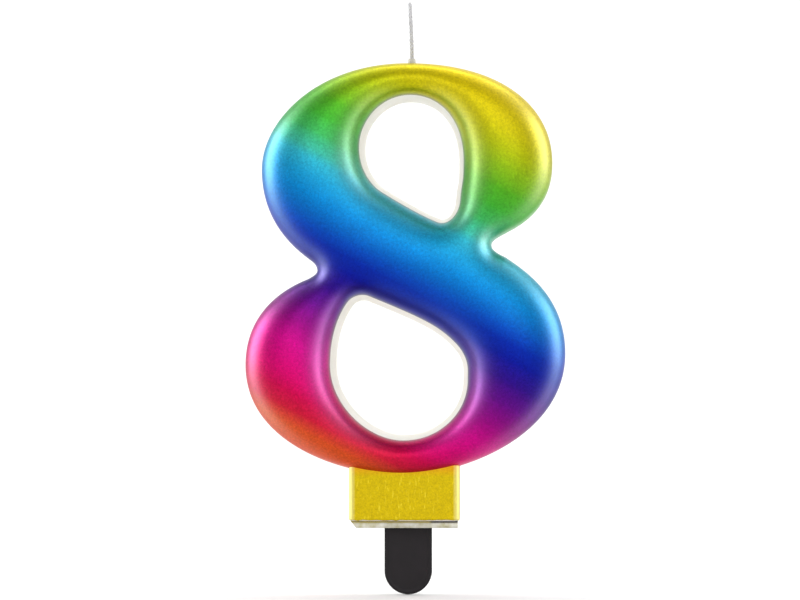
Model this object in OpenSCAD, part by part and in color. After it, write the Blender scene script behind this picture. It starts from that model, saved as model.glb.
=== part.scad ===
// A moulded figure-8 birthday candle on a plinth, with a plastic pick that pushes into a cake.
// +Z is up, the decorated front faces -Y, and the origin is the centre of the foot's underside.

/* [Numeral] */
// Height of the crown above the foot
crown_height = 80; // [75:1:90]
// Depth of the side walls, from the flat back to the edge of the pillow front
wall_depth = 8; // [7:0.5:9]
// Rise of the pillow front over the widest stroke
pillow_rise = 6; // [5:0.5:7]
// How far the side walls lean in from the back to the front
wall_lean = 0.2; // [0.1:0.1:0.4]
// How far the two counters open up from the back to the front
counter_lean = 0.6; // [0.4:0.1:0.8]

/* [Films] */
// Thickness of the metallic films
film = 0.2; // [0.2:0.05:0.3]
// Bare wax between the films and the back
bare_edge = 1; // [0.5:0.5:2]

/* [Plinth] */
// Width of the plinth
plinth_w = 19; // [18.5:0.5:20]
// Depth of the plinth, and of the numeral's back behind the origin
plinth_d = 10; // [9:0.5:11]
// Radius of the plinth's front corners
plinth_corner = 1; // [0.5:0.1:1.5]
// Thickness of the wax seal poured over the foot, round the pick
seal_h = 1.2; // [1:0.1:1.5]
// Gap that the seal leaves inside the plinth's outline
seal_inset = 0.3; // [0.2:0.1:0.4]

/* [Pick] */
// Width of the flat blade
pick_w = 8.2; // [7.5:0.1:9]
// Thickness of the blade
pick_t = 1.8; // [1.5:0.1:2.2]
// Length of blade below the foot
pick_reach = 11.6; // [10:0.2:14]
// Length of blade held inside the candle
pick_tang = 8; // [7.5:0.5:9]
// Diameter of the hole in the tang that the wax flows through
pick_key_d = 3; // [2:0.5:4]

/* [Wick] */
// Diameter of the braided wick
wick_d = 0.8; // [0.7:0.1:1]
// Length of wick above the crown
wick_reach = 11; // [8:0.5:14]
// Diameter of the wax bead where the wick leaves the crown
bead_d = 1.6; // [1.5:0.1:2]
// Height of the bead above the crown
bead_h = 1.2; // [1:0.1:1.6]

/* [Hidden] */
$fn = 48;

// The outlines below are drawn for a crown height of 80 and scaled from there.
size_k = crown_height / 80;

back_y = plinth_d / 2;
rim_y = back_y - wall_depth;
film_end_y = back_y - bare_edge;

// Each knot is [x, z, heading in degrees, reach before, reach after]. The outlines run clockwise
// as seen from the front, so the side to the left of the heading is away from the hole or numeral.
LEFT_NOTCH = [-15, 44.3, 92, 0.6, 0.6];
RIGHT_NOTCH = [14.9, 48.8, -90, 1, 1.4];
OVER_THE_TOP = [
    LEFT_NOTCH,
    [-15.9, 45.8, 144, 0.6, 4],
    [-24.6, 61.7, 90, 9, 8],
    [0.5, 80, 0, 16, 16.5],
    [25.5, 62.8, -90, 9.5, 8.5],
    [17.6, 51, -148, 1, 1],
    RIGHT_NOTCH
];
UNDER_THE_BOTTOM = [
    RIGHT_NOTCH,
    [17.6, 46.4, -37, 0.6, 2.5],
    [27.7, 30, -90, 10.5, 14.5],
    [-0.4, 9, 180, 10, 9.5],
    [-27.4, 28, 90, 14, 11],
    [-16.6, 42.8, 26, 1.2, 1],
    LEFT_NOTCH
];
UPPER_CORNER = [5.6, 52.6, 157, 2, 3.5];
UPPER_SHOULDER = [-3.8, 57.7, 148, 3.5, 2.7];
ROUND_UPPER_COUNTER = [
    UPPER_SHOULDER,
    [-7.8, 65.5, 90, 3.6, 4.6],
    [1, 74.5, 0, 5, 5],
    [10.2, 63, -90, 7.5, 4],
    [9.6, 56.3, -94, 3, 2.5],
    UPPER_CORNER
];
LOWER_CORNER = [-6, 39.8, -23, 1.4, 3.2];
LOWER_SHOULDER = [6.2, 34, -36, 3.6, 6.5];
ROUND_LOWER_COUNTER = [
    LOWER_SHOULDER,
    [10.9, 25.5, -90, 2.2, 6],
    [-0.2, 15, 180, 6, 6],
    [-12.8, 28, 90, 7, 4],
    [-9.8, 38.8, 54, 3.6, 1.4],
    LOWER_CORNER
];

// Number of sections round each bowl and along the spine, and of steps across a stroke
ring_sections = 56;
spine_sections = 8;
steps = 8;
// Stroke width that rises by the whole of pillow_rise
full_stroke = 18 * size_k;
// Share of the sections' spacing that crowds towards the notches and corners
crowding = 0.85;

plinth_top = 11 * size_k;
wick_x = 1.2 * size_k;
wick_y = (back_y + rim_y) / 2;
// Radius of the wick's bend into the crown, and of its run down the upper bowl
wick_bend_r = 2.8 * size_k;
wick_run_r = 14 * size_k;
// The free end of the wick curls by this many degrees
wick_curl = 4;
// Depth that the bead's root is set into the crown
bead_root = 0.4;
pick_x = 0.6;
// Pick length above the foot to the centre of its keying hole
pick_key_z = 5;
// Width of the chipped lower left edge of the seal
seal_chip = 1;

// ---- Curves ----

function knot_point(k) = size_k * [k[0], k[1]];
function knot_heading(k) = [cos(k[2]), sin(k[2])];
function left_of(d) = [-d[1], d[0]] / norm(d);

function bezier(p, t) =
    (1 - t) ^ 3 * p[0] + 3 * (1 - t) ^ 2 * t * p[1] + 3 * (1 - t) * t ^ 2 * p[2] + t ^ 3 * p[3];
function bezier_heading(p, t) =
    (1 - t) ^ 2 * (p[1] - p[0]) + 2 * (1 - t) * t * (p[2] - p[1]) + t ^ 2 * (p[3] - p[2]);
function controls(a, b) = [
    knot_point(a),
    knot_point(a) + size_k * a[4] * knot_heading(a),
    knot_point(b) - size_k * b[3] * knot_heading(b),
    knot_point(b)
];

// A traced point is [x, z, and the normal to the left of the heading].
function trace(knots, n = 12) = [
    for (i = [0:len(knots) - 2], j = [0:n - 1])
        let (p = controls(knots[i], knots[i + 1]))
        concat(bezier(p, j / n), left_of(bezier_heading(p, j / n))),
    let (last = knots[len(knots) - 1])
    concat(knot_point(last), left_of(knot_heading(last)))
];
function xz(p) = [p[0], p[1]];
function normal(p) = [p[2], p[3]];
function distances(t) = [
    for (i = 0, s = 0; i < len(t); s = i + 1 < len(t) ? s + norm(xz(t[i + 1]) - xz(t[i])) : s, i = i + 1)
        s
];

// n + 1 points spread along a trace, closer together near its ends
function crowd(u, amount) = (1 - amount) * u + amount * (1 - cos(180 * u)) / 2;
function spread(t, n, amount) =
    let (d = distances(t), table = [for (i = [0:len(t) - 1]) [d[i], i]])
    [
        for (j = [0:n])
            let (u = lookup(crowd(j / n, amount) * d[len(d) - 1], table), i = min(floor(u), len(t) - 2))
            t[i] + (u - i) * (t[i + 1] - t[i])
    ];
function reversed(a) = [for (i = [len(a) - 1:-1:0]) a[i]];

// ---- The pillow front ----

// Share of the way across a stroke, and of the rise there, at step k: a half ellipse
function across(k) = (1 - cos(180 * k / steps)) / 2;
function rise(width) = pillow_rise * sqrt(width / full_stroke);
function place(p, y) = [for (c = [p[0], y, p[1]]) round(c * 1e4) / 1e4];

// Points across the front from a to b
function front(a, b, y) = [
    for (k = [0:steps])
        place(a + across(k) * (b - a), y - rise(norm(b - a)) * sin(180 * k / steps))
];

// The three strokes as pairs of edges. The first two have the numeral's outline on one side.
over_edge = spread(trace(OVER_THE_TOP), ring_sections, crowding);
over_counter = spread(trace(ROUND_UPPER_COUNTER), ring_sections, crowding);
under_edge = spread(trace(UNDER_THE_BOTTOM), ring_sections, crowding);
under_counter = spread(trace(ROUND_LOWER_COUNTER), ring_sections, crowding);
spine_top = spread(trace([UPPER_CORNER, UPPER_SHOULDER]), spine_sections, 0);
spine_foot = reversed(spread(trace([LOWER_CORNER, LOWER_SHOULDER]), spine_sections, 0));

function inset(p, d) = xz(p) - d * normal(p);

// Closed rings round a stroke: over the front, then along the back
function bowl_rings(edge, counter, skin) = [
    for (i = [0:len(edge) - 1])
        concat(
            front(inset(edge[i], skin), xz(counter[i]), rim_y + skin),
            [place(inset(counter[i], counter_lean), back_y), place(inset(edge[i], skin - wall_lean), back_y)]
        )
];
function spine_rings(skin) = [
    for (i = [0:spine_sections])
        concat(
            front(xz(spine_top[i]), xz(spine_foot[i]), rim_y + skin),
            [place(inset(spine_foot[i], counter_lean), back_y), place(inset(spine_top[i], counter_lean), back_y)]
        )
];

// Closed rings round the film on a stroke: over its outside, back along its inside, down the wall
function film_lean(edge, skin) =
    place(inset(edge, skin - wall_lean * (film_end_y - rim_y) / wall_depth), film_end_y);
function bowl_film_rings(edge, counter) = [
    for (i = [0:len(edge) - 1])
        concat(
            front(xz(edge[i]), xz(counter[i]), rim_y),
            reversed(front(inset(edge[i], film), xz(counter[i]), rim_y + film)),
            [film_lean(edge[i], film), film_lean(edge[i], 0)]
        )
];
function spine_film_rings() = [
    for (i = [0:spine_sections])
        concat(
            front(xz(spine_top[i]), xz(spine_foot[i]), rim_y),
            reversed(front(xz(spine_top[i]), xz(spine_foot[i]), rim_y + film))
        )
];

// ---- Meshes, each as [points, faces] ----

function tube(rings) =
    let (m = len(rings[0]), n = len(rings))
    [
        [for (r = rings) each r],
        [
            for (i = [0:n - 2], j = [0:m - 1])
                let (a = i * m + j, b = i * m + (j + 1) % m)
                each [[a, b + m, b], [a, a + m, b + m]]
        ]
    ];

// A three-cornered patch where three strokes meet. On each side it matches front() point for point.
function patch_row(a) = a * (steps + 1) - a * (a - 1) / 2;
function patch(p, q, r, y, flip) =
    let (width = [norm(q - r), norm(r - p), norm(p - q)])
    [
        [
            for (a = [0:steps], b = [0:steps - a])
                let (
                    w = [across(a), across(b), across(steps - a - b)],
                    u = w / (w[0] + w[1] + w[2]),
                    bulge = u[1] * u[2] * width[0] + u[2] * u[0] * width[1] + u[0] * u[1] * width[2]
                )
                place(u[0] * p + u[1] * q + u[2] * r, y - 2 * rise(bulge))
        ],
        [
            for (a = [0:steps - 1], b = [0:steps - 1 - a])
                let (i = patch_row(a) + b, j = patch_row(a + 1) + b)
                each concat(
                    [turned([i, j, i + 1], flip)],
                    a + b < steps - 1 ? [turned([j, j + 1, i + 1], flip)] : []
                )
        ]
    ];
function turned(face, flip) = flip ? [face[0], face[2], face[1]] : face;
function triangle(p, q, r, y, flip) = [[place(p, y), place(q, y), place(r, y)], [turned([0, 1, 2], flip)]];

function merged(meshes) =
    let (starts = [for (i = 0, s = 0; i < len(meshes); s = s + len(meshes[i][0]), i = i + 1) s])
    [
        [for (m = meshes) each m[0]],
        [for (i = [0:len(meshes) - 1], f = meshes[i][1]) [for (v = f) v + starts[i]]]
    ];
module mesh(m) {
    polyhedron(points = m[0], faces = m[1]);
}

// The two junctions, as the corners shared by the three strokes
left_junction = [over_edge[0], over_counter[0], under_counter[ring_sections]];
right_junction = [under_edge[0], under_counter[0], over_counter[ring_sections]];

function junction_front(j, skin, flip) =
    patch(inset(j[0], skin), xz(j[1]), xz(j[2]), rim_y + skin, flip);
function junction_back(j, skin) =
    triangle(
        inset(j[0], skin - wall_lean), inset(j[1], counter_lean), inset(j[2], counter_lean), back_y, true
    );

// The figure 8, drawn in by skin where the film covers it
module numeral(skin) {
    mesh(merged([
        tube(bowl_rings(over_edge, over_counter, skin)),
        tube(bowl_rings(under_edge, under_counter, skin)),
        tube(reversed(spine_rings(skin))),
        junction_front(left_junction, skin, false),
        junction_front(right_junction, skin, false),
        junction_back(left_junction, skin),
        junction_back(right_junction, skin)
    ]));
}

module plinth_plan(inset) {
    half = plinth_w / 2 - inset;
    front = inset - plinth_d / 2;
    r = plinth_corner - inset;
    translate([-half, front + r])
        square([2 * half, back_y - front - r]);
    translate([r - half, front])
        square([2 * (half - r), r]);
    for (side = [-1, 1])
        translate([side * (half - r), front + r])
            circle(r);
}

module plinth(inset) {
    translate([0, 0, seal_h])
        linear_extrude(plinth_top - seal_h)
            plinth_plan(inset);
}

module bead_form() {
    waist = 8;
    translate([wick_x, wick_y, crown_height])
        rotate_extrude()
            polygon([
                [0, -bead_root],
                [bead_d / 2, -bead_root],
                for (i = [0:waist])
                    let (u = i / waist)
                    [wick_d / 2 + (bead_d - wick_d) / 2 * (1 - u ^ 1.5), bead_h * u],
                [0, bead_h]
            ]);
}

// An arc of wick in the X-Z plane about a centre, from one angle to another
module wick_arc(x, z, r, from, to) {
    translate([x, wick_y, z])
        rotate([90, 0, 0])
            rotate([0, 0, from])
                rotate_extrude(angle = to - from)
                    translate([r, 0])
                        circle(d = wick_d);
}

// ---- Sub-parts ----

// White wax casting: the numeral and its plinth
module wax_core() {
    color("floralwhite")
        difference() {
            union() {
                numeral(film);
                plinth(film);
            }
            pick();
            wick();
            bead_form();
        }
}

// Rainbow foil over the numeral's front and outer walls
module rainbow_film() {
    color("deepskyblue")
        difference() {
            mesh(merged([
                tube(bowl_film_rings(over_edge, over_counter)),
                tube(bowl_film_rings(under_edge, under_counter)),
                tube(reversed(spine_film_rings())),
                junction_front(left_junction, 0, false),
                junction_front(right_junction, 0, false),
                junction_front(left_junction, film, true),
                junction_front(right_junction, film, true)
            ]));
            plinth(film);
            bead_form();
        }
}

// Gold foil over the plinth's front and sides
module gold_film() {
    color("gold")
        difference() {
            translate([0, 0, seal_h])
                linear_extrude(plinth_top - seal_h)
                    difference() {
                        plinth_plan(0);
                        plinth_plan(film);
                        translate([-plinth_w, film_end_y])
                            square([2 * plinth_w, plinth_d]);
                    }
            numeral(0);
        }
}

// Clear wax poured over the foot to seal the pick in
module base_seal() {
    half = plinth_w / 2 - seal_inset;
    color("ivory")
        difference() {
            translate([0, back_y, 0])
                rotate([90, 0, 0])
                    linear_extrude(plinth_d - seal_inset)
                        polygon([[seal_chip - half, 0], [half, 0], [half, seal_h], [-half, seal_h]]);
            pick();
        }
}

// Flat plastic pick with a round end
module pick() {
    r = pick_w / 2;
    color("dimgray")
        translate([pick_x, pick_t / 2, 0])
            rotate([90, 0, 0])
                linear_extrude(pick_t)
                    difference() {
                        union() {
                            translate([-r, r - pick_reach])
                                square([pick_w, pick_reach - r + pick_tang]);
                            translate([0, r - pick_reach])
                                circle(r);
                        }
                        translate([0, pick_key_z])
                            circle(d = pick_key_d);
                    }
}

// Braided cotton wick, from its free end down into the crown and round the upper bowl
module wick() {
    free_r = wick_reach * 180 / (PI * wick_curl);
    color("white") {
        wick_arc(wick_x - free_r, crown_height, free_r, 0, wick_curl);
        wick_arc(wick_x + wick_bend_r, crown_height, wick_bend_r, 180, 270);
        wick_arc(wick_x + wick_bend_r, crown_height - wick_bend_r - wick_run_r, wick_run_r, 0, 90);
    }
}

// Bead of wax where the wick leaves the crown
module wick_bead() {
    color("lightyellow")
        difference() {
            bead_form();
            wick();
        }
}

wax_core();
rainbow_film();
gold_film();
base_seal();
pick();
wick();
wick_bead();
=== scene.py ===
import math

import bmesh
import bpy
import numpy as np
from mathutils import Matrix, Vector
from mathutils.geometry import delaunay_2d_cdt


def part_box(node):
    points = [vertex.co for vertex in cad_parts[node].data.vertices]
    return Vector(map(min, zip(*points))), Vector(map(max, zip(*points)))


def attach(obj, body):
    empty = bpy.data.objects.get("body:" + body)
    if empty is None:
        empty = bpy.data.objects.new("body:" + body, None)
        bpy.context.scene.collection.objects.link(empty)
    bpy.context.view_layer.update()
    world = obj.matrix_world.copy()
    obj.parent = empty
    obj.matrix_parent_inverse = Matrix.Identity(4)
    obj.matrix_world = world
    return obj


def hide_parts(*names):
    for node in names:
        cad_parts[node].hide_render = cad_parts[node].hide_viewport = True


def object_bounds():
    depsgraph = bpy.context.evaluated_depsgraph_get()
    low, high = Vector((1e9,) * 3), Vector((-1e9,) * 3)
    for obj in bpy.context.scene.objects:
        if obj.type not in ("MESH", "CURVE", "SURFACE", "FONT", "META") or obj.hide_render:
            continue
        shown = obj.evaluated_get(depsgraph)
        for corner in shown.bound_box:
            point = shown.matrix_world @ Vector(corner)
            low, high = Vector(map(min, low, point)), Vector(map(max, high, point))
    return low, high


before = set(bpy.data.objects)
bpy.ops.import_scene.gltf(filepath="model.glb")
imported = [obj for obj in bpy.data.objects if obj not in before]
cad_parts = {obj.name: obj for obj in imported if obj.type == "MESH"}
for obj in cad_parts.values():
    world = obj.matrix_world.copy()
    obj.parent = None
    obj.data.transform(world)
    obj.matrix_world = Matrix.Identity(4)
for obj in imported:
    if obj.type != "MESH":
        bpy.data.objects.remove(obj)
cad_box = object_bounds()

# ---- The frame's sizes, in metres ----

FILM_LOW, FILM_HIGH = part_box("rainbow_film")
CORE_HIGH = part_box("wax_core")[1]
GOLD_LOW, GOLD_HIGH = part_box("gold_film")
SEAL_LOW, SEAL_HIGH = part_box("base_seal")
PICK_LOW, PICK_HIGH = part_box("pick")
WICK_LOW, WICK_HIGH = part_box("wick")
BEAD_LOW, BEAD_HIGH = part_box("wick_bead")

CROWN_HEIGHT = 80               # of the drawing, in its own millimetres
MM = FILM_HIGH[2] / CROWN_HEIGHT
WALL_DEPTH = 8 * MM
BACK_Y = CORE_HIGH[1]
RIM_Y = BACK_Y - WALL_DEPTH
FILM_END_Y = FILM_HIGH[1]
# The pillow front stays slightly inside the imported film
RISE = (RIM_Y - FILM_LOW[1]) * 0.985
FILM_THICK = 0.18 * MM
# How far the outer walls and the counters' walls lean by the time they reach the back
WALL_LEAN = 0.05 * MM
COUNTER_LEAN = 0.85 * MM

# ---- Outlines: knots of [x, z, heading in degrees, reach before, reach after], clockwise ----

OUTLINE = [
    (0.5, 80, 0, 16, 16.5),
    (25.5, 62.8, -90, 9.5, 8.5),
    (17.6, 51, -148, 1, 1),
    (14.9, 48.8, -90, 1, 1.4),
    (17.6, 46.4, -37, 0.6, 2.5),
    (27.7, 30, -90, 10.5, 14.5),
    (-0.4, 9, 180, 10, 9.5),
    (-27.4, 28, 90, 14, 11),
    (-16.6, 42.8, 26, 1.2, 1),
    (-15, 44.3, 92, 0.6, 0.6),
    (-15.9, 45.8, 144, 0.6, 4),
    (-24.6, 61.7, 90, 9, 8),
]
UPPER_COUNTER = [
    (1, 74.5, 0, 5, 5),
    (10.2, 63, -90, 7.5, 4),
    (9.6, 56.3, -94, 3, 2.5),
    (5.6, 52.6, 157, 2, 3.5),
    (-3.8, 57.7, 148, 3.5, 2.7),
    (-7.8, 65.5, 90, 3.6, 4.6),
]
LOWER_COUNTER = [
    (6.2, 34, -36, 3.6, 6.5),
    (10.9, 25.5, -90, 2.2, 6),
    (-0.2, 15, 180, 6, 6),
    (-12.8, 28, 90, 7, 4),
    (-9.8, 38.8, 54, 3.6, 1.4),
    (-6, 39.8, -23, 1.4, 3.2),
]

EDGE_SPACING = 0.4 * MM
GRID_SPACING = 0.55 * MM
# Millimetres inside the outline of the rings that carry the steep edge of the pillow
EDGE_RINGS = [0.05, 0.15, 0.3, 0.5, 0.75, 1.1]
GRID_CLEARANCE = (EDGE_RINGS[-1] + 0.3) * MM
TRIANGULATION_TOLERANCE = 1e-5
# The pillow levels off over strokes wider than a few of these lengths
LEVEL_LENGTH = 3.6 * MM
SOLVER_STEPS = 1200


def bezier_loop(knots, spacing):
    """Points and normals to the left of the heading, about evenly spaced round a closed outline."""
    degrees_per_point = 12
    points, normals = [], []
    for a, b in zip(knots, knots[1:] + knots[:1]):
        start, end = np.array(a[:2]) * MM, np.array(b[:2]) * MM
        turn_a, turn_b = math.radians(a[2]), math.radians(b[2])
        first = start + a[4] * MM * np.array([math.cos(turn_a), math.sin(turn_a)])
        second = end - b[3] * MM * np.array([math.cos(turn_b), math.sin(turn_b)])
        turned = abs((b[2] - a[2] + 180) % 360 - 180)
        count = max(3, round(np.linalg.norm(end - start) / spacing), round(turned / degrees_per_point))
        for t in np.arange(count) / count:
            s = 1 - t
            points.append(s**3 * start + 3 * s * s * t * first + 3 * s * t * t * second + t**3 * end)
            d = s * s * (first - start) + 2 * s * t * (second - first) + t * t * (end - second)
            normals.append(np.array([-d[1], d[0]]) / np.linalg.norm(d))
    return np.array(points), np.array(normals)


def inside(points, loop):
    """Which points lie inside a closed loop, by counting crossings."""
    a, b = loop, np.roll(loop, -1, axis=0)
    result = np.zeros(len(points), bool)
    for p, q in zip(a, b):
        if p[1] == q[1]:
            continue
        spans = (points[:, 1] > p[1]) != (points[:, 1] > q[1])
        result ^= spans & (points[:, 0] < p[0] + (points[:, 1] - p[1]) * (q[0] - p[0]) / (q[1] - p[1]))
    return result


def in_numeral(points, loops):
    """Which points lie inside the outline and outside both counters."""
    outline, upper, lower = (loop for loop, _ in loops)
    return inside(points, outline) & ~inside(points, upper) & ~inside(points, lower)


def nearest(points, targets):
    """Distance from each point to the nearest target."""
    batch = 64
    best = np.full(len(points), np.inf)
    for start in range(0, len(targets), batch):
        gap = points[:, None, :] - targets[None, start:start + batch, :]
        best = np.minimum(best, np.sqrt((gap**2).sum(2)).min(1))
    return best


def numeral_sheet():
    """The flat figure 8: its points, its triangles, and its three edges as point numbers and as loops."""
    loops = [
        bezier_loop(OUTLINE, EDGE_SPACING),
        bezier_loop(UPPER_COUNTER, EDGE_SPACING),
        bezier_loop(LOWER_COUNTER, EDGE_SPACING),
    ]
    # The normal to the left leads out of the numeral on its outline, and into it on a counter.
    inward = [-1, 1, 1]
    edge = np.vstack([p for p, _ in loops])
    rings = [p + side * d * MM * n for d in EDGE_RINGS for (p, n), side in zip(loops, inward)]
    low, high = edge.min(0), edge.max(0)
    rows = np.arange(low[1], high[1], GRID_SPACING * math.sqrt(0.75))
    grid = np.array([
        (x + (r % 2) * GRID_SPACING / 2, z)
        for r, z in enumerate(rows)
        for x in np.arange(low[0], high[0], GRID_SPACING)
    ])
    grid = grid[in_numeral(grid, loops)]
    grid = grid[nearest(grid, edge) > GRID_CLEARANCE]
    flat = np.vstack([edge] + rings + [grid])

    edges, loop_ids, first = [], [], 0
    for points, _ in loops:
        ids = list(range(first, first + len(points)))
        loop_ids.append(ids)
        edges += list(zip(ids, ids[1:] + ids[:1]))
        first += len(points)
    # Worked in drawing millimetres, where the triangulation's tolerance is small
    verts, _, faces, source, _, _ = delaunay_2d_cdt(
        [Vector(p) for p in flat / MM], edges, [], 0, TRIANGULATION_TOLERANCE, True
    )
    flat_out = np.array([tuple(v) for v in verts]) * MM
    back = {}
    for new, olds in enumerate(source):
        for old in olds:
            back[old] = new
    loop_ids = [[back[i] for i in ids] for ids in loop_ids]
    faces = np.array([tuple(f) for f in faces if len(f) == 3])
    keep = in_numeral(flat_out[faces].mean(1), loops)
    return flat_out, faces[keep], loop_ids, loops


def pillow(points, faces, edge_ids):
    """Height of a membrane blown up through the outline, from 0 at the edges to 1."""
    n = len(points)
    rows, cols, weights = [], [], []
    mass = np.zeros(n)
    corner = points[faces]
    side1, side2 = corner[:, 1] - corner[:, 0], corner[:, 2] - corner[:, 0]
    area = np.abs(side1[:, 0] * side2[:, 1] - side1[:, 1] * side2[:, 0]) / 2
    for k in range(3):
        i, j, o = faces[:, k], faces[:, (k + 1) % 3], faces[:, (k + 2) % 3]
        u, v = points[i] - points[o], points[j] - points[o]
        w = (u * v).sum(1) / (4 * area)
        rows.append(i)
        cols.append(j)
        weights.append(w)
        mass += np.bincount(i, area / 3, n)
    rows, cols, weights = map(np.concatenate, (rows, cols, weights))
    diagonal = np.bincount(rows, weights, n) + np.bincount(cols, weights, n) + mass / LEVEL_LENGTH**2
    free = np.ones(n, bool)
    free[edge_ids] = False

    def apply(x):
        """The membrane's stiffness times x, at the free points."""
        off = np.bincount(rows, weights * x[cols], n) + np.bincount(cols, weights * x[rows], n)
        return np.where(free, diagonal * x - off, 0)

    # Conjugate gradients, with the diagonal as preconditioner
    x = np.zeros(n)
    residual = np.where(free, mass, 0)
    z = residual / diagonal
    direction = z.copy()
    rz = residual @ z
    for _ in range(SOLVER_STEPS):
        a = apply(direction)
        step = rz / (direction @ a)
        x += step * direction
        residual -= step * a
        z = residual / diagonal
        new_rz = residual @ z
        if new_rz < 1e-18 * rz + 1e-40:
            break
        direction = z + new_rz / rz * direction
        rz = new_rz
    height = np.sqrt(np.maximum(x, 0))
    return height / height.max()


# ---- Meshes and objects ----

def facing_front(faces, points):
    """Faces turned so that their normals point to -Y, where points are (x, z)."""
    a, b, c = points[faces[:, 0]], points[faces[:, 1]], points[faces[:, 2]]
    turn = (b[:, 0] - a[:, 0]) * (c[:, 1] - a[:, 1]) - (b[:, 1] - a[:, 1]) * (c[:, 0] - a[:, 0])
    return np.where((turn > 0)[:, None], faces, faces[:, ::-1])


def add_mesh(name, vertices, faces, closed=True):
    """A smooth object. The faces of a closed mesh are turned outwards."""
    mesh = bpy.data.meshes.new(name)
    mesh.from_pydata([tuple(map(float, v)) for v in vertices], [], [tuple(map(int, f)) for f in faces])
    mesh.validate()
    if closed:
        work = bmesh.new()
        work.from_mesh(mesh)
        bmesh.ops.recalc_face_normals(work, faces=work.faces)
        work.to_mesh(mesh)
        work.free()
    mesh.update()
    mesh.shade_smooth()
    piece = bpy.data.objects.new(name, mesh)
    bpy.context.scene.collection.objects.link(piece)
    return piece


def add_attribute(piece, name, values):
    """A value per vertex for the material to read."""
    piece.data.attributes.new(name, "FLOAT", "POINT").data.foreach_set("value", values)


def sharpen(piece, degrees):
    """Keeps edges crisp where two faces meet at more than this angle."""
    piece.data.set_sharp_from_angle(angle=math.radians(degrees))


def register(piece, material, slot, *nodes):
    """Gives a piece its material and its body, and hides the CAD nodes that it replaces. The slot is not
    used.
    """
    piece.data.materials.clear()
    piece.data.materials.append(material)
    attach(piece, "root")
    if nodes:
        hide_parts(*nodes)


def bridge(lower, upper):
    """Quads between two rings of vertex numbers."""
    faces = []
    for i in range(len(lower)):
        j = (i + 1) % len(lower)
        faces.append((lower[i], lower[j], upper[j], upper[i]))
    return faces


def bridges(rings):
    """Quads through a row of rings of vertex numbers."""
    return [face for a, b in zip(rings, rings[1:]) for face in bridge(a, b)]


def ripple(points, scale, seed):
    """Smooth low noise, mostly between -1 and 1, as a sum of waves in seeded directions."""
    waves, calmer = 7, 4
    random = np.random.default_rng(seed)
    total = np.zeros(len(points))
    for _ in range(waves):
        wave = random.normal(size=points.shape[1])
        wave *= random.uniform(0.6, 1.6) / (np.linalg.norm(wave) * scale)
        total += np.sin(points @ wave * 2 * math.pi + random.uniform(0, 2 * math.pi))
    return total / calmer


def lofted(name, rings):
    """A tube through rings of 3-D points, closed at both ends."""
    count = len(rings[0])
    vertices = [p for ring in rings for p in ring]
    numbers = [tuple(range(r * count, (r + 1) * count)) for r in range(len(rings))]
    faces = bridges(numbers) + [numbers[0][::-1], numbers[-1]]
    return add_mesh(name, vertices, faces)


# ---- Materials ----

# Colours as they look on a display, from 0 to 255
# The foil's white tints its painted highlights.
FOIL_HIGHLIGHT_WHITE = (240, 246, 246)
# This brown is painted shade along the rims of the counters.
COUNTER_EDGE_SHADE = (60, 56, 50)
GOLD, GOLD_DARK, GOLD_STREAK = (208, 182, 4), (164, 140, 4), (244, 226, 60)
# The pale gold is a painted highlight where the foil turns round the plinth's front corners.
GOLD_WARM, GOLD_HIGHLIGHT = (222, 120, 24), (255, 250, 170)
WAX_DEEP, WAX_LIGHT = (221, 217, 203), (233, 230, 220)
SEAL_DEEP, SEAL_LIGHT = (206, 200, 160), (246, 244, 232)
# The dark seam colour is a painted shadow in the gap under the gold foil.
SEAM_GOLD, SEAM_SHADOW = (176, 156, 48), (40, 24, 14)
BEAD_DEEP, BEAD_LIGHT = (168, 166, 150), (232, 230, 222)
PLASTIC_DEEP, PLASTIC_LIGHT = (27, 23, 26), (33, 29, 32)
COTTON_DEEP, COTTON_LIGHT, COTTON_GREY = (158, 158, 162), (226, 226, 228), (180, 179, 182)


def to_linear(colour):
    """A display colour as the linear colour that a shader takes."""
    shares = [c / 255 for c in colour]
    return tuple(c / 12.92 if c <= 0.04045 else ((c + 0.055) / 1.055) ** 2.4 for c in shares) + (1,)


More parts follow.
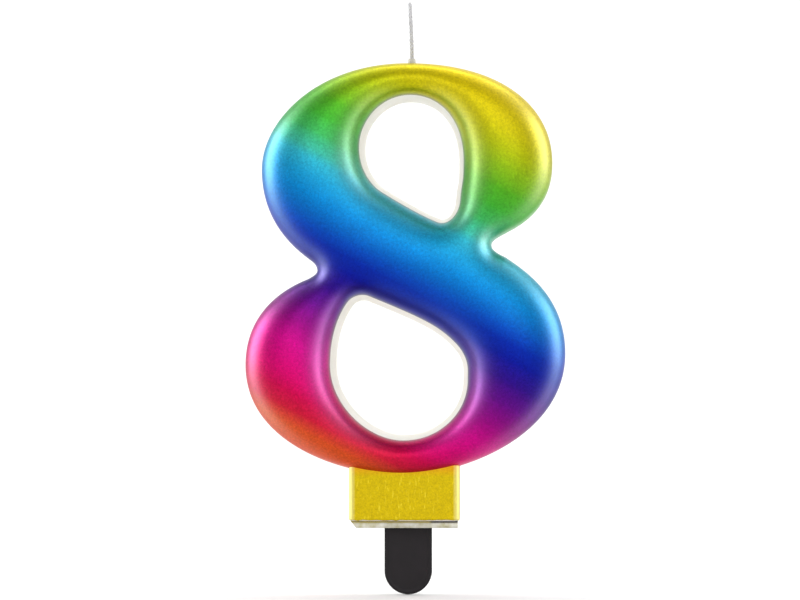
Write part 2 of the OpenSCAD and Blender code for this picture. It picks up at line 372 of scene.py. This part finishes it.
class Shader:
    """A Principled material and short calls for the nodes that feed it."""

    def __init__(self, name, **values):
        self.material = bpy.data.materials.new(name)
        self.material.use_nodes = True
        self.tree = self.material.node_tree
        self.bsdf = self.tree.nodes["Principled BSDF"]
        for socket, value in values.items():
            self.bsdf.inputs[socket.replace("_", " ")].default_value = value
        self.place = self.node("ShaderNodeTexCoord").outputs["Object"]

    def node(self, kind, **settings):
        made = self.tree.nodes.new(kind)
        for key, value in settings.items():
            setattr(made, key, value)
        return made

    def link(self, output, target):
        self.tree.links.new(output, target)

    def noise(self, size, detail=3.0, roughness=0.55, stretch=(1, 1, 1)):
        """Noise with features of about this size in metres, as its 0 to 1 output."""
        mapping = self.node("ShaderNodeMapping")
        mapping.inputs["Scale"].default_value = [s / size for s in stretch]
        self.link(self.place, mapping.inputs["Vector"])
        noise = self.node("ShaderNodeTexNoise")
        noise.inputs["Scale"].default_value = 1
        noise.inputs["Detail"].default_value = detail
        noise.inputs["Roughness"].default_value = roughness
        self.link(mapping.outputs["Vector"], noise.inputs["Vector"])
        return noise.outputs["Fac"]

    def along(self, direction, start, end):
        """0 to 1 with distance along a direction, between two places in metres."""
        dot = self.node("ShaderNodeVectorMath", operation="DOT_PRODUCT")
        dot.inputs[1].default_value = direction
        self.link(self.place, dot.inputs[0])
        return self.ranged(dot.outputs["Value"], start, end, 0, 1)

    def ranged(self, source, low, high, to_low, to_high):
        """A value carried from one range to another, and held at its ends."""
        scale = self.node("ShaderNodeMapRange")
        for i, value in enumerate((low, high, to_low, to_high)):
            scale.inputs[i + 1].default_value = value
        self.link(source, scale.inputs[0])
        return scale.outputs[0]

    def attribute(self, name, strength):
        """A mesh attribute from 0 to 1, scaled."""
        stored = self.node("ShaderNodeAttribute", attribute_name=name)
        return self.ranged(stored.outputs["Fac"], 0, 1, 0, strength)

    def lifted(self, colour, power):
        """A colour raised to a power: brighter below 1."""
        gamma = self.node("ShaderNodeGamma")
        gamma.inputs["Gamma"].default_value = power
        self.link(colour, gamma.inputs["Color"])
        return gamma.outputs["Color"]

    def ramp(self, source, stops):
        """A colour looked up along stops of (position, linear colour)."""
        ramp = self.node("ShaderNodeValToRGB")
        elements = ramp.color_ramp.elements
        while len(elements) < len(stops):
            elements.new(0.5)
        for element, (position, colour) in zip(elements, stops):
            element.position = position
            element.color = colour
        self.link(source, ramp.inputs[0])
        return ramp.outputs[0]

    def cloudy(self, source, deep, light, spread=0.2):
        """A blend of two display colours over the middle of a noise."""
        return self.ramp(source, [(0.5 - spread, to_linear(deep)), (0.5 + spread, to_linear(light))])

    def mix(self, fac, a, b, blend="MIX"):
        """Two colours mixed, each a constant or an output."""
        mix = self.node("ShaderNodeMix", data_type="RGBA", blend_type=blend)
        for value, socket in ((fac, mix.inputs["Factor"]), (a, mix.inputs["A"]), (b, mix.inputs["B"])):
            if isinstance(value, (int, float, tuple)):
                socket.default_value = value
            else:
                self.link(value, socket)
        return mix.outputs["Result"]

    def bump(self, height, strength, distance, under=None):
        """A normal from a height, over another one if given."""
        bump = self.node("ShaderNodeBump")
        bump.inputs["Strength"].default_value = strength
        bump.inputs["Distance"].default_value = distance
        self.link(height, bump.inputs["Height"])
        if under:
            self.link(under, bump.inputs["Normal"])
        return bump.outputs["Normal"]

    def drive(self, socket, output):
        """Feeds an output to a socket of the Principled node."""
        self.link(output, self.bsdf.inputs[socket])


# The rainbow runs in straight bands, from the upper right to the lower left.
RAINBOW_DIRECTION = (0.469, 0, 0.883)
RAINBOW_START, RAINBOW_END = 76, 6
# Place down the rainbow in millimetres, and the colour there
RAINBOW = [
    (73, (226, 202, 10)),
    (68.5, (202, 192, 8)),
    (65.5, (176, 188, 10)),
    (62.5, (140, 186, 24)),
    (59, (84, 174, 34)),
    (56, (66, 176, 50)),
    (53, (62, 178, 92)),
    (50, (60, 182, 160)),
    (48.5, (46, 176, 198)),
    (46, (24, 156, 206)),
    (43, (4, 134, 208)),
    (40.5, (4, 106, 196)),
    (38.3, (4, 74, 188)),
    (36.5, (2, 42, 168)),
    (34, (8, 22, 152)),
    (30.5, (48, 10, 134)),
    (27, (98, 6, 134)),
    (23, (148, 3, 126)),
    (19, (206, 4, 134)),
    (14, (216, 4, 108)),
    (11.5, (206, 6, 76)),
    (9, (206, 26, 56)),
    (6.5, (220, 82, 34)),
]


def rainbow_colour(shader):
    """The bands down the numeral."""
    place = shader.along(RAINBOW_DIRECTION, RAINBOW_START * MM, RAINBOW_END * MM)
    span = RAINBOW_START - RAINBOW_END
    stops = [((RAINBOW_START - s) / span, to_linear(c)) for s, c in RAINBOW]
    return shader.ramp(place, stops)


def rainbow_material():
    """Grainy metallic foil, with painted highlights on its sideways slopes and painted shade along the
    counters' rims, by values stored on the mesh.
    """
    s = Shader("rainbow_foil", Metallic=1.0, Roughness=0.42, Coat_Weight=0.1, Coat_Roughness=0.25)
    colour = rainbow_colour(s)
    grain = s.noise(0.4 * MM, detail=4, roughness=0.8)
    cloud = s.noise(4 * MM, detail=2)
    dark = s.mix(1.0, colour, (0.5, 0.5, 0.5, 1), "MULTIPLY")
    colour = s.mix(s.ranged(grain, 0.35, 0.65, 0.0, 0.7), colour, dark)
    # Painted highlights: on slopes facing sideways the foil goes paler towards white by the outline, and
    # brighter by the counters.
    highlight = s.mix(0.25, s.lifted(colour, 0.45), to_linear(FOIL_HIGHLIGHT_WHITE))
    colour = s.mix(s.attribute("painted_edge_highlight", 0.55), colour, highlight)
    colour = s.mix(s.attribute("painted_counter_highlight", 1), colour, s.lifted(colour, 0.42))
    # Painted shade: darker brown along the rims of the counters.
    colour = s.mix(s.attribute("counter_edge_shade", 0.6), colour, to_linear(COUNTER_EDGE_SHADE))
    s.drive("Base Color", colour)
    s.drive("Roughness", s.ranged(cloud, 0.3, 0.7, 0.39, 0.46))
    soft = s.bump(cloud, 0.1, 0.08 * MM)
    s.drive("Normal", s.bump(grain, 0.3, 0.04 * MM, soft))
    return s.material


def gold_material():
    """Gold foil with lighter upright streaks, warm under the bowl, and a painted highlight at the front
    corners.
    """
    s = Shader("gold_foil", Metallic=0.95, Roughness=0.4, Coat_Weight=0.1, Coat_Roughness=0.3)
    gold = to_linear(GOLD)
    grain = s.noise(0.3 * MM, detail=4, roughness=0.75)
    streak = s.noise(0.35 * MM, detail=2, stretch=(1, 1, 0.25))
    colour = s.mix(s.ranged(grain, 0.35, 0.7, 0, 0.75), gold, to_linear(GOLD_DARK))
    colour = s.mix(s.ranged(streak, 0.6, 0.8, 0, 0.6), colour, to_linear(GOLD_STREAK))
    warm = s.ranged(s.along((0, 0, 1), 0, 20 * MM), 0.44, 0.54, 0, 0.6)
    colour = s.mix(warm, colour, to_linear(GOLD_WARM))
    # A painted highlight, pale gold, where the foil turns round the plinth's front corners
    near, far = 0.5 * MM, 1.1 * MM
    behind = s.along((0, 1, 0), GOLD_LOW[1] + near, GOLD_LOW[1] + far)
    highlight = s.mix(behind, to_linear(GOLD_HIGHLIGHT), gold)
    for side in (-1, 1):
        turn = s.along((side, 0, 0), GOLD_HIGH[0] - far, GOLD_HIGH[0] - near)
        colour = s.mix(s.ranged(turn, 0, 1, 0, 0.5), colour, highlight)
    s.drive("Base Color", colour)
    s.drive("Roughness", s.ranged(grain, 0.3, 0.7, 0.34, 0.48))
    s.drive("Normal", s.bump(grain, 0.35, 0.05 * MM, s.bump(streak, 0.25, 0.04 * MM)))
    return s.material


def wax_material():
    """Off-white paraffin wax with a faint cloudiness."""
    s = Shader("white_wax", Roughness=0.38, Subsurface_Weight=0.35, Subsurface_Scale=1.5 * MM,
               Coat_Weight=0.15, Coat_Roughness=0.25)
    s.bsdf.inputs["Subsurface Radius"].default_value = (1.0, 0.8, 0.6)
    cloud = s.noise(5 * MM, detail=4)
    fine = s.noise(0.5 * MM, detail=3)
    s.drive("Base Color", s.cloudy(cloud, WAX_DEEP, WAX_LIGHT))
    s.drive("Roughness", s.ranged(fine, 0.3, 0.7, 0.3, 0.46))
    s.drive("Normal", s.bump(fine, 0.12, 0.05 * MM, s.bump(cloud, 0.2, 0.2 * MM)))
    return s.material


def clear_wax_material(name, deep, light, seam=False):
    """Cloudy clear wax between two colours, with or without the seam line along the top of the foot and
    its painted shadow.
    """
    s = Shader(name, Roughness=0.14, Transmission_Weight=0.35, IOR=1.44)
    cloud = s.noise(1.6 * MM, detail=4)
    colour = s.cloudy(cloud, deep, light, spread=0.15)
    if seam:
        # Gold along most of the line, and a painted shadow at its right end, in the gap under the gold
        # foil
        top = SEAL_HIGH[2]
        near_top = s.along((0, 0, 1), 0.6 * top, 0.85 * top)
        right = s.along((1, 0, 0), 4.2 * MM, 4.8 * MM)
        seam_gold_and_shadow = s.mix(right, to_linear(SEAM_GOLD), to_linear(SEAM_SHADOW))
        colour = s.mix(near_top, colour, seam_gold_and_shadow)
    s.drive("Base Color", colour)
    s.drive("Roughness", s.ranged(cloud, 0.3, 0.7, 0.08, 0.24))
    s.drive("Normal", s.bump(cloud, 0.3, 0.12 * MM))
    return s.material


def plastic_material():
    """Matt black moulded plastic."""
    s = Shader("black_plastic", Roughness=0.5, Specular_IOR_Level=0.2)
    fine = s.noise(0.16 * MM, detail=3, roughness=0.7)
    cloud = s.noise(2.5 * MM, detail=3)
    s.drive("Base Color", s.cloudy(cloud, PLASTIC_DEEP, PLASTIC_LIGHT))
    s.drive("Roughness", s.ranged(cloud, 0.3, 0.7, 0.4, 0.55))
    s.drive("Normal", s.bump(fine, 0.3, 0.03 * MM, s.bump(cloud, 0.1, 0.1 * MM)))
    return s.material


def cotton_material():
    """White cotton with fibres along the wick and patches of soaked-in wax."""
    s = Shader("cotton_wick", Roughness=0.55, Sheen_Weight=0.2, Sheen_Roughness=0.5)
    fibre = s.noise(0.09 * MM, detail=3, roughness=0.7, stretch=(1, 1, 0.2))
    patch = s.noise(1.2 * MM, detail=2)
    colour = s.cloudy(fibre, COTTON_DEEP, COTTON_LIGHT)
    s.drive("Base Color", s.mix(s.ranged(patch, 0.4, 0.7, 0, 0.35), colour, to_linear(COTTON_GREY)))
    s.drive("Roughness", s.ranged(patch, 0.3, 0.7, 0.35, 0.7))
    s.drive("Normal", s.bump(fibre, 0.5, 0.03 * MM))
    return s.material


def backdrop_material():
    """Plain matt white."""
    s = Shader("backdrop", Roughness=0.9, Specular_IOR_Level=0)
    cloud = s.noise(0.2, detail=2)
    s.drive("Base Color", s.ramp(cloud, [(0.3, (0.86, 0.86, 0.86, 1)), (0.7, (0.88, 0.88, 0.88, 1))]))
    return s.material


# ---- The numeral ----

sheet, triangles, loop_ids, loops = numeral_sheet()
height = pillow(sheet, triangles, [i for ids in loop_ids for i in ids]) * RISE
front_faces = facing_front(triangles, sheet)
normal_at = {}
for ids, (_, normals) in zip(loop_ids, loops):
    normal_at.update(zip(ids, normals))


def wall_rings(vertices, ids, profile):
    """Adds rings behind an edge loop: each profile entry is (y, distance along the loop's normal)."""
    rings = [ids]
    for y, out in profile:
        first = len(vertices)
        for i in ids:
            x, z = sheet[i] + out * normal_at[i]
            vertices.append((x, y, z))
        rings.append(list(range(first, first + len(ids))))
    return rings


def falloff(distance, reach):
    """1 at no distance, falling smoothly towards 0 past the reach."""
    return np.exp(-(distance / reach) ** 2)


def store_painted_foil_light(piece):
    """Stores where the foil gets painted highlights and painted shade, as values that its material reads.
    """
    counters = np.vstack([loops[1][0], loops[2][0]])
    # The foil is darkened along its edge round the counters, a painted shade. The walls come after the
    # sheet and have none.
    edge = np.zeros(len(piece.data.vertices))
    edge[:len(sheet)] = falloff(nearest(sheet, counters), 0.22 * MM)
    add_attribute(piece, "counter_edge_shade", edge)
    normals = np.array([v.vector for v in piece.data.vertex_normals])
    tilt = np.degrees(np.arccos(np.clip(-normals[:, 1], -1, 1)))
    sideways = normals[:, 0]**2 / (normals[:, 0]**2 + normals[:, 2]**2 + 1e-6)
    by_counter = np.zeros(len(normals))
    by_counter[:len(sheet)] = falloff(nearest(sheet, counters), 5.5 * MM)
    # Both painted highlights fade out where the bowl runs into the plinth
    plinth_edge = np.column_stack([np.linspace(GOLD_LOW[0], GOLD_HIGH[0], 40), np.full(40, 9.5 * MM)])
    sideways[:len(sheet)] *= 1 - falloff(nearest(sheet, plinth_edge), 3 * MM)
    # On slopes that face sideways the foil gets a pale painted highlight by the outline, and its
    # brightest painted highlight by the counters.
    add_attribute(piece, "painted_edge_highlight", sideways * (1 - by_counter) * falloff(tilt - 50, 16))
    add_attribute(piece, "painted_counter_highlight", sideways * by_counter * falloff(tilt - 40, 20))


def rainbow_foil():
    """The foil: the pillow front and the outer walls, thickened inwards."""
    vertices = [(x, RIM_Y - h, z) for (x, z), h in zip(sheet, height)]
    depth = FILM_END_Y - RIM_Y
    lean = WALL_LEAN * depth / WALL_DEPTH
    profile = [(RIM_Y + depth * t, lean * t) for t in np.linspace(0, 1, 9)[1:]]
    faces = [tuple(f) for f in front_faces]
    faces += bridges(wall_rings(vertices, loop_ids[0], profile))
    piece = add_mesh("rainbow_foil", vertices, faces, closed=False)
    store_painted_foil_light(piece)
    shell = piece.modifiers.new("thickness", "SOLIDIFY")
    shell.thickness = FILM_THICK
    shell.offset = -1
    return piece


def wax_casting():
    """The bare wax: hidden under the foil in front, open to view in the counters and at the back."""
    skin = FILM_THICK * 1.15
    # The sheet drawn in under the foil, most of all along the outline
    outer, normals = loops[0]
    shrink = np.exp(-nearest(sheet, outer) / (1.2 * MM))[:, None]
    close = np.array([np.argmin(((outer - p) ** 2).sum(1)) for p in sheet])
    under = sheet - skin * shrink * normals[close]
    vertices = [(x, RIM_Y + skin - h, z) for (x, z), h in zip(under, height)]
    faces = [tuple(f) for f in front_faces]

    corner = 0.35 * MM
    turns = np.radians([0, 22.5, 45, 67.5, 90])
    # Behind the foil the wax comes out flush with it, then rounds into the back.
    lean_there = 0.87 * WALL_LEAN
    outer_profile = [(FILM_END_Y, lean_there - skin), (FILM_END_Y + 0.02 * MM, lean_there)]
    outer_profile += [
        (BACK_Y - corner + corner * math.sin(t), WALL_LEAN - corner + corner * math.cos(t)) for t in turns
    ]
    counter_depth = WALL_DEPTH - corner - skin
    counter_profile = [
        (RIM_Y + skin + counter_depth * t, -COUNTER_LEAN * t) for t in np.linspace(0, 1, 8)[1:]
    ]
    counter_profile += [
        (BACK_Y - corner + corner * math.sin(t), -COUNTER_LEAN + corner - corner * math.cos(t))
        for t in turns[1:]
    ]
    # The vertex at the back for each one on an edge of the sheet
    number = {}
    for ids, profile in zip(loop_ids, (outer_profile, counter_profile, counter_profile)):
        rings = wall_rings(vertices, ids, profile)
        faces += bridges(rings)
        number.update(zip(ids, rings[-1]))

    # The poured back: the same triangles, sunk and slightly uneven away from the edges
    calm = np.clip(nearest(sheet, np.vstack([p for p, _ in loops])) / (3 * MM), 0, 1)
    uneven = (ripple(sheet, 14 * MM, 8) - 1.5) * 0.06 * MM * calm
    dish = -0.25 * MM * (1 - np.cos(math.pi * calm)) / 2
    for i, (x, z) in enumerate(sheet):
        if i not in number:
            number[i] = len(vertices)
            vertices.append((x, BACK_Y + uneven[i] + dish[i], z))
    faces += [tuple(number[i] for i in f[::-1]) for f in front_faces]
    return add_mesh("wax_casting", vertices, faces)


# ---- The plinth ----

def plinth_section(half, front, back, corner, count=10):
    """Plan outline of the plinth with rounded front corners, anticlockwise from the back right."""
    points = [(half, back)]
    for turn in np.linspace(0, -math.pi / 2, count):
        points.append((half - corner + corner * math.cos(turn), front + corner + corner * math.sin(turn)))
    for x in np.linspace(half - corner, corner - half, 25)[1:-1]:
        points.append((x, front))
    for turn in np.linspace(-math.pi / 2, -math.pi, count):
        points.append((corner - half + corner * math.cos(turn), front + corner + corner * math.sin(turn)))
    points.append((-half, back))
    return points


def plinth_rings(inset, back, low, high, ragged):
    """Sections up the plinth, the lowest ones ragged."""
    half, front, corner = GOLD_HIGH[0] - inset, GOLD_LOW[1] + inset, 0.9 * MM
    plan = np.array(plinth_section(half, front, back, corner))
    levels, fade = 41, 12
    rings = []
    for t in np.linspace(0, 1, levels):
        z = low + (high - low) * t
        sway = ripple(plan, 2.2 * MM, 21) * ragged * (1 - t) ** fade
        rings.append([(x, y, z + s) for (x, y), s in zip(plan, sway)])
    return rings


def gold_foil():
    """Gold foil round the plinth's front and sides, with a slightly ragged lower edge."""
    ragged = 0.12 * MM
    low, high = GOLD_LOW[2] + ragged, GOLD_HIGH[2]
    outer = plinth_rings(0, GOLD_HIGH[1], low, high, ragged)
    inner = plinth_rings(FILM_THICK, GOLD_HIGH[1], low, high, ragged)
    count, levels = len(outer[0]), len(outer)
    vertices = [p for ring in outer + inner for p in ring]
    # From a vertex outside to its partner inside
    shift = count * levels
    faces = []
    for r in range(levels - 1):
        for i in range(count - 1):
            a, b = r * count + i, r * count + i + 1
            faces.append((a, a + count, b + count, b))
            faces.append((shift + a, shift + b, shift + b + count, shift + a + count))
        for i, turn in ((0, 1), (count - 1, -1)):
            a = r * count + i
            faces.append((a, shift + a, shift + a + count, a + count)[::turn])
    for r, turn in ((0, 1), (levels - 1, -1)):
        for i in range(count - 1):
            a = r * count + i
            faces.append((a, a + 1, shift + a + 1, shift + a)[::turn])
    return add_mesh("gold_foil", vertices, faces)


def plinth_block():
    """The wax of the plinth, behind the foil and bare at the back."""
    rings = plinth_rings(FILM_THICK * 1.1, BACK_Y - 0.05 * MM, SEAL_HIGH[2], GOLD_HIGH[2], 0)
    return lofted("plinth_block", rings)


def foot_seal():
    """Clear wax over the foot, with a slightly wavy front, chipped at the lower left."""
    left, right = SEAL_LOW[0], SEAL_HIGH[0]
    front, back, top = SEAL_LOW[1] + 0.1 * MM, SEAL_HIGH[1] - 0.1 * MM, SEAL_HIGH[2]
    chip, round_edge, thinnest, bulge = 0.9 * MM, 0.12 * MM, 0.05 * MM, 0.03 * MM
    rings = []
    for t in np.linspace(0, 1, 61):
        x = left + (right - left) * t
        base = min(max(0, chip - (x - left)) * (top / chip), top - thinnest)
        wave = 0.06 * MM * math.sin(x * 2.1 / MM) + 0.05 * MM * math.sin(x * 5.3 / MM + 1)
        face = front + wave
        bevel = min(round_edge, (top - base) / 3)
        rings.append([
            (x, face + bevel, base),
            (x, face, base + bevel),
            (x, face - bulge, (base + top) / 2),
            (x, face, top - bevel),
            (x, face + bevel, top),
            (x, back - bevel, top),
            (x, back, top - bevel),
            (x, back, base + bevel),
            (x, back - bevel, base),
        ])
    piece = lofted("foot_seal", rings)
    sharpen(piece, 50)
    return piece


# ---- The pick ----

def pick_blade():
    """A flat blade with a round end, softened edges and shallow sunk faces inside its rim."""
    x0, x1 = PICK_LOW[0], PICK_HIGH[0]
    radius = (x1 - x0) / 2
    centre = (x0 + x1) / 2
    low, high = PICK_LOW[2], PICK_HIGH[2]
    thick = PICK_HIGH[1] - PICK_LOW[1]

    def outline(inset):
        """The blade's outline drawn in by an inset, anticlockwise from the left of its round end."""
        r = radius - inset
        arc = [
            (centre + r * math.cos(t), low + radius + r * math.sin(t))
            for t in np.linspace(math.pi, 2 * math.pi, 49)
        ]
        rise = np.linspace(low + radius, high - inset, 25)[1:]
        right = [(centre + r, z) for z in rise]
        across = [(centre + r * (1 - 2 * t), high - inset) for t in np.linspace(0, 1, 13)[1:-1]]
        left = [(centre - r, z) for z in rise[::-1]]
        return arc + right + across + left

    edge = 0.28 * MM
    half, sunk = thick / 2, 0.93 * thick / 2
    # Distance in from the edge, and half the thickness there
    profile = [(edge * 3.2, sunk), (edge * 2.6, sunk), (edge * 2.2, half)]
    for t in np.radians([0, 30, 60, 90]):
        profile.append((edge * (1 - math.sin(t)), half - edge * (1 - math.cos(t))))
    sections = [(inset, -y) for inset, y in profile] + [(inset, y) for inset, y in reversed(profile)]
    rings = [[(x, y, z) for x, z in outline(inset)] for inset, y in sections]
    piece = lofted("pick_blade", rings)
    sharpen(piece, 60)
    return piece


# ---- The wick ----

BEAD_CENTRE = [(BEAD_LOW[0] + BEAD_HIGH[0]) / 2, (BEAD_LOW[1] + BEAD_HIGH[1]) / 2]


def wick_path():
    """Points down the wick: the free end, the bend into the crown and the run round the bowl."""
    crown = FILM_HIGH[2]
    x0, y0 = BEAD_CENTRE
    curl, tip_gap = math.radians(4), 0.1 * MM
    free_r = (WICK_HIGH[2] - tip_gap - crown) / math.sin(curl)
    bend, run = 2.8 * MM, 14 * MM
    path = []
    for t in np.linspace(curl, 0, 40):
        path.append((x0 - free_r + free_r * math.cos(t), y0, crown + free_r * math.sin(t)))
    for t in np.linspace(math.pi, 1.5 * math.pi, 14)[1:]:
        path.append((x0 + bend + bend * math.cos(t), y0, crown + bend * math.sin(t)))
    for t in np.linspace(math.pi / 2, 0, 40)[1:]:
        path.append((x0 + bend + run * math.cos(t), y0, crown - bend - run + run * math.sin(t)))
    return np.array(path)


def resampled(path, count):
    """Points evenly spaced along a path, and the length run at each."""
    length = np.concatenate([[0], np.cumsum(np.linalg.norm(np.diff(path, axis=0), axis=1))])
    even = np.linspace(0, length[-1], count)
    return np.column_stack([np.interp(even, length, path[:, k]) for k in range(3)]), even


def braided_wick():
    """Three strands of cotton plaited along the wick's path."""
    path, along = resampled(wick_path(), count=420)
    heading = np.gradient(path, axis=0)
    heading /= np.linalg.norm(heading, axis=1)[:, None]
    side = np.array([0, 1.0, 0])
    across = np.cross(heading, side)
    radius = (WICK_HIGH[1] - WICK_LOW[1]) / 2
    strand, swing, pitch = radius * 0.55, radius * 0.42, 2.1 * MM
    strands, sides = 3, 10
    vertices, faces = [], []
    for number in range(strands):
        phase = 2 * math.pi * along / pitch + number * 2 * math.pi / strands
        wobble = 0.05 * radius * np.sin(along / (0.7 * MM) + number)
        centre = path + (swing * np.sin(phase) + wobble)[:, None] * across
        centre = centre + (swing * 0.9 * np.sin(2 * phase))[:, None] * side
        thin = strand * (1 + 0.06 * np.sin(along / (0.45 * MM) + 2 * number))
        # Drawn thin towards the free end
        thin = thin * np.clip(0.45 + along / (0.8 * MM), 0, 1)
        first = len(vertices)
        for c, n, r in zip(centre, across, thin):
            for turn in np.arange(sides) * 2 * math.pi / sides:
                vertices.append(c + r * (math.cos(turn) * n + math.sin(turn) * side))
        rings = [tuple(range(start, start + sides)) for start in range(first, len(vertices), sides)]
        faces += bridges(rings) + [rings[0][::-1], rings[-1]]
    return add_mesh("braided_wick", vertices, faces)


def wax_bead():
    """A lopsided drop of wax round the wick where it leaves the crown."""
    x0, y0 = BEAD_CENTRE
    wide = (BEAD_HIGH[0] - BEAD_LOW[0]) / 2
    sunk = 0.3 * MM
    low, tall = FILM_HIGH[2] - sunk, BEAD_HIGH[2] - FILM_HIGH[2] + sunk
    # The drop closes onto the wick above its shoulder, as a share of its height
    neck, shoulder, sides = 0.42 * MM, 0.45, 40
    rings = []
    for t in np.linspace(0, 1, 22):
        closing = max(0, (t - shoulder) / (1 - shoulder))
        swell = neck + (wide * (1 - 0.08 * t) - neck) * math.sqrt(1 - closing**2)
        ring = []
        for turn in np.arange(sides) * 2 * math.pi / sides:
            r = swell * (1 - 0.05 * (1 + math.sin(2 * turn + 0.6)) * math.sin(math.pi * t))
            ring.append((x0 + r * math.cos(turn), y0 + r * math.sin(turn), low + tall * t))
        rings.append(ring)
    return lofted("wax_bead", rings)


# ---- Studio, in metres ----

AIM = Vector((-0.0007, GOLD_LOW[1], 0.0392))
CAMERA_X, CAMERA_Z, CAMERA_DISTANCE = 0.02, 0.028, 0.75
VIEW_WIDTH = 0.1375
SENSOR_WIDTH = 36               # in millimetres
WORLD_LIGHT = 0.68
CANDLE = (0, 0, 0.04)
WALL_Y, WALL_HEIGHT, WALL_BEND, FLOOR_REACH = 1.4, 1.6, 0.5, 6.0
WALL = (0, WALL_Y, 0.1)
# Name, place, what it points at, width and height, watts
LIGHTS = [
    ("left_softbox", (-0.8, 0.02, 0.2), CANDLE, (0.8, 0.9), 5.2),
    ("right_softbox", (0.8, 0.02, 0.2), CANDLE, (0.8, 0.9), 4),
    ("top_softbox", (0, 0.1, 0.9), CANDLE, (0.9, 0.4), 0.8),
    ("front_fill", (0.1, -1.4, 0.5), CANDLE, (1.0, 0.8), 4),
    ("backdrop_light", (0, 0.5, 1.3), WALL, (2.0, 0.4), 12),
]


def point_at(thing, place, target):
    """Links an object to the scene at a place, turned to look at a target."""
    bpy.context.scene.collection.objects.link(thing)
    thing.location = place
    thing.rotation_euler = (Vector(target) - thing.location).to_track_quat("-Z", "Y").to_euler()


def camera():
    """Looks at the candle from a little to its right and below its middle."""
    lens = bpy.data.cameras.new("camera")
    lens.sensor_width = SENSOR_WIDTH
    lens.lens = SENSOR_WIDTH * CAMERA_DISTANCE / VIEW_WIDTH
    holder = bpy.data.objects.new("camera", lens)
    point_at(holder, (CAMERA_X, AIM.y - CAMERA_DISTANCE, CAMERA_Z), AIM)
    bpy.context.scene.camera = holder
    bpy.context.scene.view_settings.view_transform = "Standard"


def lighting():
    """An even white world, softboxes round the candle and a light on the backdrop."""
    world = bpy.data.worlds.new("studio")
    world.use_nodes = True
    background = world.node_tree.nodes["Background"]
    background.inputs["Color"].default_value = (1, 1, 1, 1)
    background.inputs["Strength"].default_value = WORLD_LIGHT
    bpy.context.scene.world = world
    for name, place, target, size, power in LIGHTS:
        light = bpy.data.lights.new(name, "AREA")
        light.shape = "RECTANGLE"
        light.size, light.size_y = size
        light.energy = power
        point_at(bpy.data.objects.new(name, light), place, target)


def backdrop():
    """A floor that curves up into a wall."""
    floor = cad_box[0][2] - 0.0001
    curve_y, curve_z = WALL_Y - WALL_BEND, floor + WALL_BEND
    profile = [(-FLOOR_REACH, floor), (curve_y, floor)]
    for t in np.linspace(-math.pi / 2, 0, 24)[1:]:
        profile.append((curve_y + WALL_BEND * math.cos(t), curve_z + WALL_BEND * math.sin(t)))
    profile.append((WALL_Y, floor + WALL_HEIGHT))
    vertices, faces = [], []
    for y, z in profile:
        vertices += [(-FLOOR_REACH, y, z), (FLOOR_REACH, y, z)]
    for i in range(len(profile) - 1):
        faces.append((2 * i, 2 * i + 1, 2 * i + 3, 2 * i + 2))
    piece = add_mesh("backdrop", vertices, faces)
    piece.data.materials.append(backdrop_material())


# ---- The scene ----

camera()
lighting()
backdrop()
wax = wax_material()
seal_wax = clear_wax_material("seal_wax", SEAL_DEEP, SEAL_LIGHT, seam=True)
bead_wax = clear_wax_material("bead_wax", BEAD_DEEP, BEAD_LIGHT)
register(rainbow_foil(), rainbow_material(), "rainbow_foil", "rainbow_film")
register(wax_casting(), wax, "wax", "wax_core")
register(plinth_block(), wax, "wax")
register(gold_foil(), gold_material(), "gold_foil", "gold_film")
register(foot_seal(), seal_wax, "clear_wax", "base_seal")
register(pick_blade(), plastic_material(), "black_plastic", "pick")
register(braided_wick(), cotton_material(), "cotton", "wick")
register(wax_bead(), bead_wax, "clear_wax", "wick_bead")
